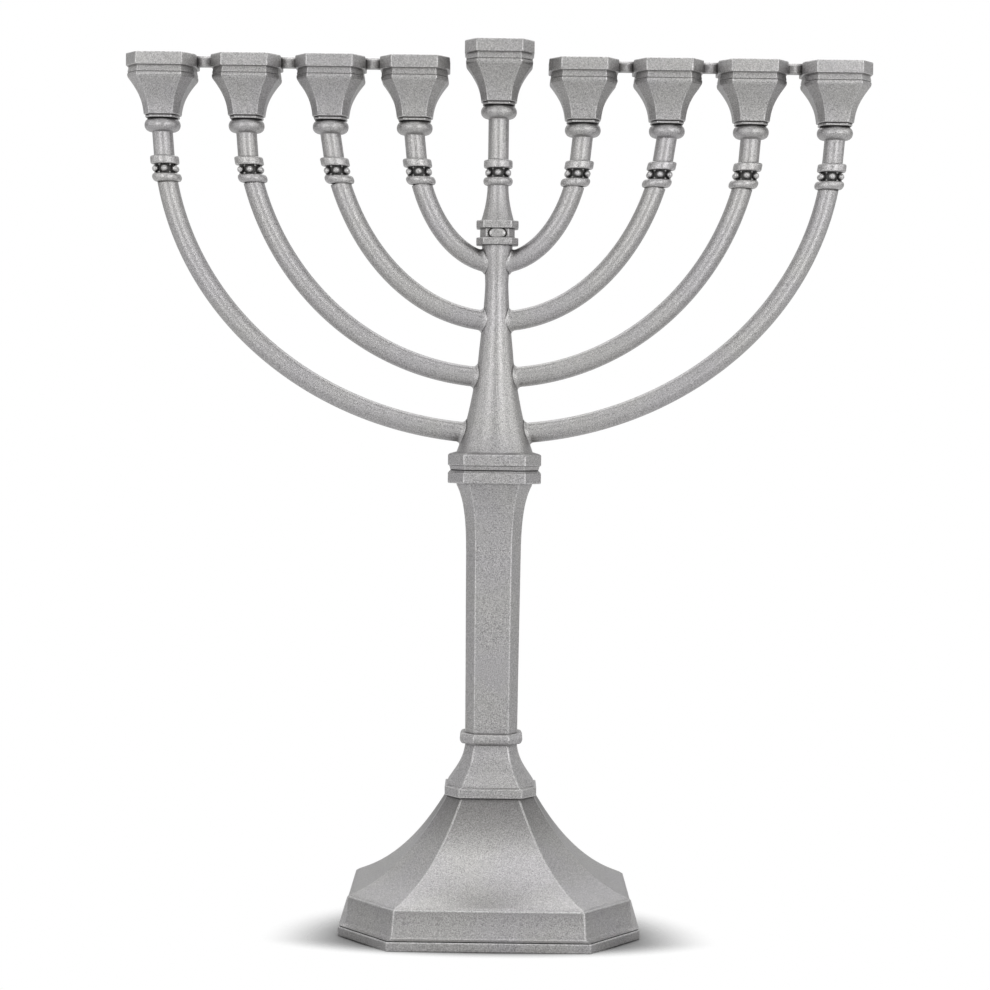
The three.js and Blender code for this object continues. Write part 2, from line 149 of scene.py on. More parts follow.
def softened(points, closed, fillet):
    """The points with each corner rounded, and a third value, the edge mask.

    It is 1 on outward arcs and -CREASE_PATINA on inward ones. A point may carry its own fillet
    radius as a third value.
    """
    flat = [np.array(p[:2], float) for p in points]
    radii = [p[2] if len(p) > 2 else fillet for p in points]
    out = []
    for i, here in enumerate(flat):
        if not closed and i in (0, len(flat) - 1):
            out.append((*here, 0.0))
            continue
        before, after = flat[i - 1], flat[(i + 1) % len(flat)]
        into, away = here - before, after - here
        run_in, run_out = np.linalg.norm(into), np.linalg.norm(away)
        into, away = into / run_in, away / run_out
        turn = math.atan2(into[0] * away[1] - into[1] * away[0], float(into @ away))
        if abs(turn) < SMOOTH_TURN or radii[i] <= 0:
            out.append((*here, 0.0))
            continue
        wanted = radii[i] * math.tan(abs(turn) / 2)
        reach = min(wanted, CORNER_SHARE * run_in, CORNER_SHARE * run_out)
        start, end = here - into * reach, here + away * reach
        out.append((*(start - into * reach * CORNER_LEAD), 0.0))
        for k in range(CORNER_STEPS + 1):
            t = k / CORNER_STEPS
            point = (1 - t) ** 2 * start + 2 * (1 - t) * t * here + t * t * end
            out.append((*point, 1.0 if turn > 0 else -CREASE_PATINA))
        out.append((*(end + away * reach * CORNER_LEAD), 0.0))
    return out


def outline(points, fillet=0.4):
    return softened(points, False, fillet)


# ---- sections ----


def octagon(half, fillet, front_flat=FRONT_FLAT):
    """Corner-rounded octagon, anticlockwise from the end flat at +X: rows of (x, y, edge)."""
    front, end = half * front_flat, half * END_FLAT
    corners = [
        (half, -end), (half, end), (front, half), (-front, half),
        (-half, end), (-half, -end), (-front, -half), (front, -half),
    ]
    return np.array(softened(corners, True, min(fillet, WIDEST_FILLET * half)))


def circle(half, sides):
    turn = np.linspace(0, 2 * math.pi, sides, endpoint=False)
    return np.stack([half * np.cos(turn), half * np.sin(turn), np.zeros(sides)], axis=1)


def flat_starts():
    """Which points of a cup's octagon are followed by a flat, not by the rest of a corner."""
    shape = octagon(REFERENCE_HALF, CUP_FILLET)
    spans = np.linalg.norm((np.roll(shape, -1, axis=0) - shape)[:, :2], axis=1)
    return spans > LONG_SPAN


FLAT_STARTS = flat_starts()


def divided_octagon(half):
    """A cup's octagon, with points added along its flats."""
    shape = octagon(half, CUP_FILLET)
    rows = []
    for here, there, flat in zip(shape, np.roll(shape, -1, axis=0), FLAT_STARTS):
        rows.append(here)
        if flat:
            for k in range(1, FLAT_PARTS):
                rows.append((*(here + (there - here) * k / FLAT_PARTS)[:2], 0.0))
    return np.array(rows)


def circle_like_octagon(half):
    """A circle whose points face those of a cup's octagon, for the round mouth inside it."""
    shape = divided_octagon(REFERENCE_HALF)
    turn = np.arctan2(shape[:, 1], shape[:, 0])
    return np.stack([half * np.cos(turn), half * np.sin(turn), np.zeros(len(turn))], axis=1)


# ---- meshes ----


class Shell:
    """Vertices, faces and the signed edge mask of one closed surface or of several."""

    def __init__(self):
        self.points, self.faces, self.edge = [], [], []

    def ring(self, points, edge):
        start = len(self.points)
        self.points.extend(map(tuple, points))
        self.edge.extend(edge)
        return list(range(start, len(self.points)))

    def skin(self, rings):
        """Quads between successive rings, with triangles where a ring is a single point."""
        for low, high in zip(rings, rings[1:]):
            count = max(len(low), len(high))
            for j in range(count):
                k = (j + 1) % count
                face = [
                    low[j % len(low)], low[k % len(low)],
                    high[k % len(high)], high[j % len(high)],
                ]
                face = list(dict.fromkeys(face))
                if len(face) > 2:
                    self.faces.append(face)

    def loft(self, rows, section, lean=None):
        """Rings of section(half, z) at each row's height, moved sideways by lean(z)."""
        rings = []
        for half, z, edge in rows:
            shift = lean(z) if lean else 0.0
            if half < ON_AXIS:
                rings.append(self.ring([(shift, 0.0, z)], [0.0]))
                continue
            shape = section(half, z)
            points = [(x + shift, y, z) for x, y, _ in shape]
            marks = [corner + edge if edge < 0 else max(corner, edge) for _, _, corner in shape]
            rings.append(self.ring(points, marks))
        self.skin(rings)
        return self

    def add(self, points, faces, edge=None):
        start = len(self.points)
        self.points.extend(map(tuple, points))
        self.edge.extend(edge or [0.0] * len(points))
        self.faces.extend([[start + i for i in face] for face in faces])
        return self

    def build(self, name, material, place=(0.0, 0.0, 0.0), mirrored=False):
        """The mesh object, moved to a place and turned half round the Z axis if mirrored."""
        points = np.array(self.points, float)
        if mirrored:
            points[:, :2] *= -1
        points = (points + np.array(place)) * MM
        mesh = bpy.data.meshes.new(name)
        mesh.from_pydata(points.tolist(), [], self.faces)
        mesh.shade_smooth()
        mask = mesh.attributes.new("edge", "FLOAT", "POINT")
        mask.data.foreach_set("value", np.array(self.edge, np.float32))
        mesh.materials.append(material)
        mesh.validate()
        thing = bpy.data.objects.new(name, mesh)
        bpy.context.scene.collection.objects.link(thing)
        return thing


def round_section(sides):
    return lambda half, z: circle(half, sides)


def eight_sided(rows, fillet=0.5, front_flat=None, ridge_wear=None):
    """An octagonal body.

    front_flat gives (height, share) pairs where the front flat's share changes, and ridge_wear
    gives (height, wear) pairs for the upright ridges.
    """
    heights, shares = zip(*(front_flat or [(0, FRONT_FLAT)]))
    wear_heights, wears = zip(*(ridge_wear or [(0, 1.0)]))

    def section(half, z):
        shape = octagon(half, fillet, float(np.interp(z, heights, shares)))
        wear = float(np.interp(z, wear_heights, wears))
        return [(x, y, corner * wear) for x, y, corner in shape]

    return Shell().loft(rows, section)


def stands_for(thing, body, slot, *nodes):
    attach(thing, body)
    if nodes:
        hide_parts(*nodes)
    return thing


# ---- materials ----


class Nodes:
    """A small helper that adds nodes to a material and links them."""

    def __init__(self, name):
        self.material = bpy.data.materials.new(name)
        self.material.use_nodes = True
        self.tree = self.material.node_tree
        self.shader = self.tree.nodes["Principled BSDF"]

    def add(self, kind, **settings):
        node = self.tree.nodes.new(kind)
        for key, value in settings.items():
            setattr(node, key, value)
        return node

    def link(self, source, target):
        self.tree.links.new(source, target)

    def noise(self, coordinates, scale, detail=2.0, roughness=0.5):
        node = self.add("ShaderNodeTexNoise")
        node.inputs["Scale"].default_value = scale
        node.inputs["Detail"].default_value = detail
        node.inputs["Roughness"].default_value = roughness
        self.link(coordinates, node.inputs["Vector"])
        return node.outputs["Fac"]

    def math(self, operation, first, second=None, clamp=False):
        node = self.add("ShaderNodeMath", operation=operation, use_clamp=clamp)
        for socket, value in zip(node.inputs, (first, second)):
            if value is None:
                continue
            if isinstance(value, (int, float)):
                socket.default_value = value
            else:
                self.link(value, socket)
        return node.outputs[0]

    def spread(self, value, low, high, to_low=0.0, to_high=1.0):
        node = self.add("ShaderNodeMapRange")
        limits = {"From Min": low, "From Max": high, "To Min": to_low, "To Max": to_high}
        for key, number in limits.items():
            node.inputs[key].default_value = number
        self.link(value, node.inputs["Value"])
        return node.outputs["Result"]

    def blend(self, factor, first, second):
        node = self.add("ShaderNodeMix", data_type="RGBA")
        colours = [s for s in node.inputs if s.type == "RGBA"]
        for socket, value in zip(colours, (first, second)):
            if isinstance(value, tuple):
                socket.default_value = (*value, 1.0)
            else:
                self.link(value, socket)
        self.link(factor, node.inputs["Factor"])
        return [s for s in node.outputs if s.type == "RGBA"][0]


def grey(level, warmth=0.0):
    return (level * (1 + warmth), level, level * (1 - warmth))


def purplish(level):
    return (level * 1.005, level * 0.985, level * 1.0)


# Cast surface: noise scales, per metre
FINE_SCALE = 4600
GRAIN_SCALE = 2300
CLOUD_SCALE = 38
# Noise values of the darkest and the brightest specks, and of no cloud and a full one
SPECK_RANGE = (0.36, 0.64)
CLOUD_RANGE = (0.42, 0.62)
# Brightness as shares of the metal's level
DARK_SPECK = 0.55
BRIGHT_SPECK = 1.45
BRIGHT_CLOUD_SPECK = 1.42
WORN_EDGE = 1.7
WEAR_STRENGTH = 0.55
WIDE_REACH = 14  # millimetres over which painted shade darkens wider hollows
GRAIN_RELIEF = 0.1  # height of the grain, in millimetres


def cast_pewter(name, level, patina_and_shade_level, reach, strength, shading):
    """Matte grey metal with a blasted grain, bright worn edges, and patina in its recesses.

    The patina fills recesses up to reach millimetres across with the given strength, and painted
    shade darkens wider hollows by the given share. The edge mask also brings painted highlights
    round the arms' roots and painted shade on the base's faces.
    """
    n = Nodes(name)
    place = n.add("ShaderNodeTexCoord").outputs["Object"]
    fine = n.noise(place, FINE_SCALE, 1.0, 0.5)
    grain = n.noise(place, GRAIN_SCALE, 2.0, 0.7)
    cloud = n.noise(place, CLOUD_SCALE, 3.0, 0.55)
    edge = n.add("ShaderNodeAttribute", attribute_name="edge").outputs["Fac"]
    wear = n.math("MULTIPLY", n.math("MAXIMUM", edge, 0.0), n.spread(grain, 0.35, 0.62))
    wear = n.math("MULTIPLY", wear, WEAR_STRENGTH)

    both = n.math("ADD", n.math("MULTIPLY", grain, 0.5), n.math("MULTIPLY", fine, 0.5))
    speck = n.spread(both, *SPECK_RANGE)
    dark = level * DARK_SPECK
    metal = n.blend(speck, grey(dark, warmth=0.016), grey(level * BRIGHT_SPECK, warmth=0.014))
    tinted = n.blend(speck, purplish(dark), purplish(level * BRIGHT_CLOUD_SPECK))
    metal = n.blend(n.spread(cloud, *CLOUD_RANGE), metal, tinted)
    metal = n.blend(wear, metal, grey(level * WORN_EDGE, warmth=0.004))

    near = n.add("ShaderNodeAmbientOcclusion", samples=8)
    near.inputs["Distance"].default_value = reach * MM
    wide = n.add("ShaderNodeAmbientOcclusion", samples=8)
    wide.inputs["Distance"].default_value = WIDE_REACH * MM
    recess = n.spread(near.outputs["AO"], 0.25, 0.85, 1.0, 0.0)
    recess = n.math("MULTIPLY", recess, strength, clamp=True)
    # painted shade: wider hollows, found by ambient occlusion, darkened toward the patina colour
    shade = n.math("MULTIPLY", n.spread(wide.outputs["AO"], 0.35, 0.95, 1.0, 0.0), shading)
    patina_and_shade = n.math("MAXIMUM", recess, shade)
    # negative edge mask: patina in inward corners and ferrule cores, painted shade on the base's
    # faces
    patina_and_shade = n.math("MAXIMUM", patina_and_shade, n.math("MULTIPLY", edge, -1.0), clamp=True)
    # one colour serves both the patina in recesses and the painted shade
    colour = n.blend(patina_and_shade, metal, grey(patina_and_shade_level, warmth=0.05))
    n.link(colour, n.shader.inputs["Base Color"])

    rough = n.spread(fine, 0.25, 0.75, 0.31, 0.45)
    rough = n.math("SUBTRACT", rough, n.math("MULTIPLY", wear, 0.08))
    rough = n.math("ADD", rough, n.math("MULTIPLY", patina_and_shade, 0.2), clamp=True)
    n.link(rough, n.shader.inputs["Roughness"])
    n.shader.inputs["Metallic"].default_value = 1.0

    bump = n.add("ShaderNodeBump")
    bump.inputs["Strength"].default_value = 0.45
    bump.inputs["Distance"].default_value = GRAIN_RELIEF * MM
    n.link(n.math("ADD", grain, n.math("MULTIPLY", fine, 0.5)), bump.inputs["Height"])
    n.link(bump.outputs["Normal"], n.shader.inputs["Normal"])
    return n.material


def plated_steel(name):
    """Bright zinc-plated steel with fine turning marks along its length."""
    n = Nodes(name)
    place = n.add("ShaderNodeTexCoord").outputs["Object"]
    marks = n.add("ShaderNodeMapping")
    marks.inputs["Scale"].default_value = (1.0, 1.0, 14.0)
    n.link(place, marks.inputs["Vector"])
    lines = n.noise(marks.outputs["Vector"], 260, 3.0, 0.6)
    n.link(n.blend(lines, grey(0.42), grey(0.62)), n.shader.inputs["Base Color"])
    n.link(n.spread(lines, 0.3, 0.7, 0.28, 0.45), n.shader.inputs["Roughness"])
    n.shader.inputs["Metallic"].default_value = 1.0
    return n.material


def felt(name):
    """Dense dark wool felt with a matted nap."""
    n = Nodes(name)
    place = n.add("ShaderNodeTexCoord").outputs["Object"]
    nap = n.noise(place, 900, 5.0, 0.7)
    n.link(n.blend(nap, grey(0.012), grey(0.045)), n.shader.inputs["Base Color"])
    n.shader.inputs["Roughness"].default_value = 0.95
    n.shader.inputs["Sheen Weight"].default_value = 0.4
    bump = n.add("ShaderNodeBump")
    bump.inputs["Strength"].default_value = 0.6
    bump.inputs["Distance"].default_value = 0.0003
    n.link(nap, bump.inputs["Height"])
    n.link(bump.outputs["Normal"], n.shader.inputs["Normal"])
    return n.material


PEWTER = cast_pewter(
    "cast_pewter", level=0.45, patina_and_shade_level=0.06, reach=1.6, strength=0.75, shading=0.26
)
SMOOTH_PEWTER = cast_pewter(
    "branch_pewter", level=0.45, patina_and_shade_level=0.06, reach=0.7, strength=0.4, shading=0.16
)
BEADED = cast_pewter(
    "beaded_pewter", level=0.5, patina_and_shade_level=0.015, reach=0.8, strength=1.0, shading=0.2
)
STEEL = plated_steel("plated_steel")
FELT = felt("base_felt")


# ---- base and column ----

RECESS_HALF = 47  # the felt pad's recess under the rim plate
RECESS_TOP_Z = 1.3
RIM_TOP_Z = 3.45
RIM_INNER_HALF = 48  # of a ring on the rim plate's top, under the shell
SHELL_FOOT_Z = 3.6
NECK_TOP_Z = 67.0
GROOVE_DEPTH = 0.85  # of the collar's groove
# The collar's lower ring and its upper one, from edge to edge
LOWER_RING_Z = (153.3, 156.95)
UPPER_RING_Z = (159.55, 163.2)
COLLAR_RISE = 0.75  # of the upper ring's top, toward the trunk

# Wear of the base's upright ridges: (height, wear)
RIDGE_WEAR = [(3.6, 0.9), (13.2, 0.7), (14.5, 0.1), (24, 0.35), (34, 0.8), (45, 1.0)]
# Shade painted on the base's faces, darkest on the flare under the flange and on the plinth wall:
# the heights, and the amount at each
FLARE_PAINTED_SHADE = (
    (5.5, 6.5, 12.8, 13.3, 28, 31, 37, 45),
    (0, 0.38, 0.34, 0, 0, 0.1, 0.36, 0.58),
)


def make_base():
    pad_half = cad_box("base_pad")[1][0]
    pad_top = cad_top("base_pad")
    pad = eight_sided(outline([(0, 0), (pad_half, 0), (pad_half, pad_top), (0, pad_top)], 0.2))
    stands_for(pad.build("felt_pad", FELT), "stand", "base_felt", "base_pad")

    rim = cad_box("base_plate")[1][0]
    foot = cad_foot("base_plate")
    rows = [
        (0, RECESS_TOP_Z), (RECESS_HALF, RECESS_TOP_Z), (RECESS_HALF, foot), (rim, foot, 0.5),
        (rim, RIM_TOP_Z, 0.45), (RIM_INNER_HALF, RIM_TOP_Z), (0, RIM_TOP_Z),
    ]
    plate = eight_sided(outline(rows, 0.3), 0.6)
    stands_for(plate.build("rim_plate", PEWTER), "stand", "cast_pewter", "base_plate")

    top = cad_top("base_shell")
    cove = bezier([(50.65, 3.75), (49.6, 3.8), (48.55, 4.2), (48.45, 5.5)], 6)
    flare = bezier([(47.1, 13.6), (45.8, 15.2), (30.7, 17.1), (15.0, top)], 30)
    foot = SHELL_FOOT_Z
    rows = [(0, foot), (50.4, foot, 0.1), *cove, (47.75, 13.25, 0.5), *flare, (0, top)]
    rows = outline(rows, 0.3)
    # painted shade: the plinth wall and the flare under the flange are darkened through the
    # negative edge mask
    rows = [(half, z, edge - float(np.interp(z, *FLARE_PAINTED_SHADE))) for half, z, edge in rows]
    shell = eight_sided(rows, 0.8, ridge_wear=RIDGE_WEAR)
    stands_for(shell.build("flared_shell", PEWTER), "stand", "cast_pewter", "base_shell")


def make_neck():
    foot = cad_top("base_shell") + 0.1
    half = cad_box("neck")[1][0]
    flange_top = 48.85
    flare = bezier([(14.85, 49.35), (12.3, 53.6), (9.3, 56.6), (8.95, 63.1)], 22)
    ring = bezier([(9.5, 63.2), (11.25, 63.2), (11.25, NECK_TOP_Z), (9.5, NECK_TOP_Z)], 12)
    rows = [
        (0, foot), (half, foot, 0.5), (half, flange_top, 0.6), (15.0, flange_top, 0.1),
        (14.75, 49.1, 0.1), *flare, *ring, (0, NECK_TOP_Z),
    ]
    shares = [(49.0, 0.685), (49.3, 0.66), (62.0, 0.66), (63.5, 0.565)]
    neck = eight_sided(outline(rows, 0.3), 0.75, shares)
    stands_for(neck.build("flared_neck", PEWTER), "stand", "cast_pewter", "neck")


def make_column():
    foot, top = 66.95, 153.5
    straight = [(9.0, foot), (9.12, 88), (9.3, 110)]
    flare = bezier([(9.45, 130), (9.55, 137.5), (9.9, 146.8), (12.9, 152.6)], 18)
    column = eight_sided(outline([(0, foot), *straight, *flare, (13.1, top), (0, top)], 0.2), 0.55)
    stands_for(column.build("octagonal_column", PEWTER), "stand", "cast_pewter", "column")


def make_collar():
    half = cad_box("collar_lower")[1][0]
    joint = cad_top("collar_lower")
    foot, edge = LOWER_RING_Z
    rows = [
        (0, foot), (half, foot, 0.5), (half, edge, 0.4), (half - 0.45, 157.1, 0.1),
        (half - 0.4, 157.3, 0.1), (half - GROOVE_DEPTH, joint + 0.1, 0.2), (0, joint + 0.1),
    ]
    lower = eight_sided(outline(rows, 0.4), 0.6)
    stands_for(lower.build("collar_lower_ring", PEWTER), "stand", "cast_pewter", "collar_lower")


# ---- trunk and arms ----


TRUNK_TOP_Z = 235.4


def trunk_outline():
    low = bezier([(13.6, 163.0), (9.6, 173.0), (7.4, 186.5), (6.1, 196)], 20)
    high = bezier([(5.9, 198.5), (5.0, 207), (4.2, 215), (4.0, 222)], 14)
    return [*low, *high, (4.1, 224.5), (4.6, 228.5), (5.15, 232), (5.3, TRUNK_TOP_Z)]


TRUNK_HALVES, TRUNK_HEIGHTS = np.array(trunk_outline()).T


def trunk_radius(z):
    return float(np.interp(z, TRUNK_HEIGHTS, TRUNK_HALVES))


def make_trunk():
    half = cad_box("trunk")[1][0]
    joint = cad_foot("trunk")
    edge, top = UPPER_RING_Z
    rows = [
        (0, joint), (half - GROOVE_DEPTH, joint, 0.2), (half - 0.5, 159.3, 0.1), (half, edge, 0.4),
        (half, top, 0.5), (13.4, top + COLLAR_RISE), (0, top + COLLAR_RISE),
    ]
    shell = eight_sided(outline(rows, 0.4), 0.6)
    rows = outline([(0, 163), *trunk_outline(), (0, TRUNK_TOP_Z)], 0.3)
    shell.loft(rows, round_section(ROUND_SIDES))
    stands_for(shell.build("tapering_trunk", SMOOTH_PEWTER), "branches", "cast_pewter", "trunk")


def arm_point(number, angle):
    reach, drop, centre = ARMS[number]
    return np.array([reach * math.sin(angle), 0.0, centre - drop * math.cos(angle)])


def centre_x(number, z):
    """Distance from the axis to a branch's centre line: the ellipse, then a lean to the cup."""
    reach, drop, centre = ARMS[number]
    knop_foot = SIDE_RIM_Z - KNOP_BELOW_RIM - KNOP_HALF
    on_ellipse = reach * math.sin(math.acos((centre - min(z, FERRULE_TOP_Z)) / drop))
    along = min(max((z - FERRULE_TOP_Z) / (knop_foot - FERRULE_TOP_Z), 0.0), 1.0)
    return on_ellipse + (CUP_PITCH * number - on_ellipse) * along


def make_arm(number, word):
    """A bar along the ellipse, swelling into a fillet where it meets the trunk."""
    reach, drop, centre = ARMS[number]
    top = FERRULE_Z + ARM_OVERLAP
    last = math.acos((centre - top) / drop)
    closed_end, first_section = ARM_START
    shell = Shell()
    rings = [shell.ring([arm_point(number, 0.0) + (closed_end, 0, 0)], [0.0])]
    root = trunk_radius(centre - drop)
    near = np.arange(root - ROOT_INSIDE, root + ROOT_OUTSIDE, ROOT_STEP) / reach
    far = np.arcsin((root + SPARSE_FROM) / reach)
    angles = [first_section / reach, *np.arcsin(near), *np.linspace(far, last, ARM_STEPS)]
    for angle in angles:
        here = arm_point(number, angle)
        tangent = np.array([reach * math.cos(angle), 0.0, drop * math.sin(angle)])
        tangent /= np.linalg.norm(tangent)
        across = np.array([-tangent[2], 0.0, tangent[0]])
        points, marks = [], []
        for x, y, _ in circle(1.0, SMALL_SIDES):
            outward = y * across + np.array([0, -x, 0])
            point = here + ARM_RADIUS * outward
            outside = math.hypot(point[0], point[1]) - trunk_radius(point[2])
            gap = 1 - min(max(outside / ROOT_FILLET, 0.0), 1.0)
            flare = ROOT_FILLET * (1 - math.sqrt(1 - gap * gap))
            flare *= math.exp(min(outside, 0.0) / FILLET_DECAY)
            parallel = abs(outward[0] * point[0] + outward[1] * point[1])
            parallel /= math.hypot(point[0], point[1])
            flare *= max(0.0, 1 - PARALLEL_CUT * parallel)
            points.append(point + outward * flare)
            # painted highlight: a bright line round the root for light caught on the crease, dimmer
            # on the lower half
            crease = math.exp(-((outside - CREASE_PLACE) / CREASE_WIDTH) ** 2)
            marks.append(crease if y > 0.1 else LOWER_CREASE * crease)
        rings.append(shell.ring(points, marks))
    rings.append(shell.ring([arm_point(number, last)], [0.0]))
    shell.skin(rings)
    name = f"curved_arm_{word}_{number}"
    thing = shell.build(name, SMOOTH_PEWTER, mirrored=word == "left")
    stands_for(thing, "branches", "cast_pewter", f"arm_{word}_{number}")


# ---- branch ends ----


def sphere(radius, place, rings=10, sides=18, squash=1.0):
    points = [(0, 0, -radius * squash)]
    for i in range(1, rings):
        angle = math.pi * i / rings
        r, z = radius * math.sin(angle), -radius * math.cos(angle) * squash
        for j in range(sides):
            turn = 2 * math.pi * j / sides
            points.append((r * math.cos(turn), r * math.sin(turn), z))
    points.append((0, 0, radius * squash))
    faces = [(0, 1 + (j + 1) % sides, 1 + j) for j in range(sides)]
    for i in range(rings - 2):
        a, b = 1 + i * sides, 1 + (i + 1) * sides
        faces += [(a + j, a + (j + 1) % sides, b + (j + 1) % sides, b + j) for j in range(sides)]
    last = 1 + (rings - 2) * sides
    faces += [(last + j, last + (j + 1) % sides, len(points) - 1) for j in range(sides)]
    return [np.array(p) + np.array(place) for p in points], faces


def pip(turn, radius, low, high, width):
    """A small pointed tooth on the ferrule's core, from a wide foot at low to a tip at high."""
    out = np.array([math.cos(turn), math.sin(turn), 0.0])
    side = np.array([-out[1], out[0], 0.0])
    up = np.array([0.0, 0.0, 1.0])
    points = [
        out * (radius - PIP_ROOT) - side * width / 2 + up * low,
        out * (radius - PIP_ROOT) + side * width / 2 + up * low,
        out * (radius - PIP_ROOT) + up * high,
        out * (radius + 0.5) - side * width / 2 + up * low,
        out * (radius + 0.5) + side * width / 2 + up * low,
        out * (radius + 0.2) + up * high,
    ]
    faces = [(0, 2, 1), (3, 4, 5), (0, 1, 4, 3), (1, 2, 5, 4), (2, 0, 3, 5)]
    if high < low:
        faces = [tuple(reversed(f)) for f in faces]
    return points, faces


def make_ferrule(node, name, body, lean, mirrored):
    core, (low, high) = CORE_RADIUS, BEADS_Z
    lower = bezier([(4.0, FERRULE_Z), (5.35, FERRULE_Z + 0.1), (5.45, low - 0.1), (4.2, low)], 12)
    rows = [
        (0, FERRULE_Z), *lower, (core, low, 0.15), (core, high, 0.15), (4.97, high, 0.6),
        (4.97, FERRULE_TOP_Z, 0.8), (0, FERRULE_TOP_Z),
    ]
    rows = [
        (half, z, -CORE_PATINA if 0 < half < core + 0.3 else edge * ROUND_WEAR)
        for half, z, edge in outline(rows, 0.3)
    ]
    shell = Shell().loft(rows, round_section(SMALL_SIDES), lean)
    middle = (low + high) / 2
    shift = np.array([lean(middle) if lean else 0.0, 0.0, 0.0])
    for i in range(BEAD_COUNT):
        turn = math.pi / 2 + 2 * math.pi * i / BEAD_COUNT
        place = shift + (BEAD_CIRCLE * math.cos(turn), BEAD_CIRCLE * math.sin(turn), middle)
        points, faces = sphere(BEAD_RADIUS, place)
        shell.add(points, faces, [BEAD_WEAR] * len(points))
        between = turn + math.pi / BEAD_COUNT
        for foot, tip in ((low - 0.1, low + PIP_HEIGHT), (high + 0.1, high - PIP_HEIGHT)):
            points, faces = pip(between, core + 0.4, foot, tip, PIP_WIDTH)
            shell.add([p + shift for p in points], faces)
    thing = shell.build(name, BEADED, mirrored=mirrored)
    stands_for(thing, body, "beaded_pewter", node)


def make_stem(node, name, body, rim, lean, mirrored):
    foot = FERRULE_TOP_Z - 0.1
    knop = rim - KNOP_BELOW_RIM
    barrel = []
    for k in range(17):
        turn = math.pi * (k / 16 - 0.5)
        half = STEM_RADIUS + (KNOP_RADIUS - STEM_RADIUS) * math.cos(turn) ** 0.8
        barrel.append((half, knop + KNOP_HALF * math.sin(turn)))
    steps = [(STEM_RADIUS, foot + (barrel[0][1] - foot) * k / 4) for k in range(4)]
    rows = outline([(0, foot), *steps, *barrel, (0, barrel[-1][1])], 0.25)
    rows = [(half, z, edge * ROUND_WEAR) for half, z, edge in rows]
    shell = Shell().loft(rows, round_section(SMALL_SIDES), lean)
    stands_for(shell.build(name, SMOOTH_PEWTER, mirrored=mirrored), body, "cast_pewter", node)


def make_cup(node, name, body, x, rim):
    """Tapered octagonal cup, moulded under its rim, with a round dish and a candle bore."""
    flank = bezier([(6.15, -20.3), (6.6, -16.2), (7.4, -13.4), (11.3, -8.3)], 16)
    outside = outline(
        [
            (0, -21.6), (5.6, -21.5, 0.3), (5.6, -20.8, 0.2), (5.2, -20.6, 0.1),
            (5.95, -20.45, 0.15), *flank, (11.5, -7.7, 0.3), (11.5, -6.95, 0.15),
            (11.2, -6.7, 0.1), (11.42, -6.45, 0.15), (11.2, -5.3, 0.5), (11.05, -4.5, 0.15),
            (11.95, -4.35, 0.35), (11.95, 0, 0.45), (10.4, 0), (9.4, 0),
        ],
        0.3,
    )
    dish = bezier([(9.2, 0), (8.4, -0.2), (6.4, -1.6), (5.05, -3.2)], 10)
    inside = outline([(10.0, 0), *dish, (4.8, -14, 0.3), (0, -14)], 0.35)[1:]
    shell = Shell()
    rings = []
    for rows, section in ((outside[:-1], divided_octagon), (inside, circle_like_octagon)):
        for half, z, edge in rows:
            if half < ON_AXIS:
                rings.append(shell.ring([(0, 0, z)], [0.0]))
                continue
            shape = section(half)
            marks = [corner if abs(corner) > abs(edge) else edge for corner in shape[:, 2]]
            rings.append(shell.ring([(p[0], p[1], z) for p in shape], marks))
    shell.skin(rings)
    stands_for(shell.build(name, PEWTER, place=(x, 0, rim)), body, "cast_pewter", node)


BAR_BEVEL = 0.7


def make_tie_bar(node, name):
    """Short bevelled bar whose ends run into the rims of two neighbouring cups."""
    low, high = cad_box(node)
    middle = (low + high) / 2
    length, half = high[0] - low[0] - 1.2, (high[1] - low[1]) / 2
    tall = (high[2] - low[2]) / 2
    flat, side = half - BAR_BEVEL, tall - BAR_BEVEL
    corners = [
        (-half, -tall), (half, -tall), (half, side), (flat, tall), (-flat, tall), (-half, side),
    ]
    section = softened(corners, True, 0.25)
    shell = Shell()
    rings = [shell.ring([(-length / 2, 0, 0)], [0.0])]
    for along in (-length / 2, 0.0, length / 2):
        points = [(along, y, z) for y, z, _ in section]
        rings.append(shell.ring(points, [edge for _, _, edge in section]))
    rings.append(shell.ring([(length / 2, 0, 0)], [0.0]))
    shell.skin(rings)
    stands_for(shell.build(name, PEWTER, place=tuple(middle)), "branches", "cast_pewter", node)


# ---- centre candle ----


SEAT_BORE = 2.6
OVAL_HALF = (2.8, 1.9)  # half the raised oval's width and height
OVAL_Z = 239.25


def make_seat():
    """Octagonal ring and band under the centre candle, with a raised oval on the front."""
    half = cad_box("shamash_socket")[1][0]
    foot, top = 235.35, 240.9
    band = 5.96
    rows = [
        (0, foot), (half, foot, 0.4), (half, 237.75, 0.4), (band + 0.25, 237.8, 0.15),
        (band, 238.1), (band, top, 0.1), (SEAT_BORE, top, 0.2), (SEAT_BORE, foot + 0.3),
        (0, foot + 0.3),
    ]
    shell = eight_sided(outline(rows, 0.3), 0.5)
    dome = [(0, -1.0, 0), (1.2, -1.0, 0), (1.2, 0.04, -1.0), (1.03, 0.04, -1.0), (1.0, 0.1, -0.6)]
    dome += outline([(1.0, 0.2), (1.0, 0.55, 0.3), (0.7, 0.75), (0.0, 0.82)], 0.2)
    oval = Shell().loft(dome, round_section(SMALL_SIDES))
    wide, tall = OVAL_HALF
    points = [(x * wide, -band - z, OVAL_Z + y * tall) for x, y, z in oval.points]
    shell.add(points, oval.faces, oval.edge)
    seat = shell.build("oval_fronted_seat", PEWTER)
    stands_for(seat, "branches", "cast_pewter", "shamash_socket")


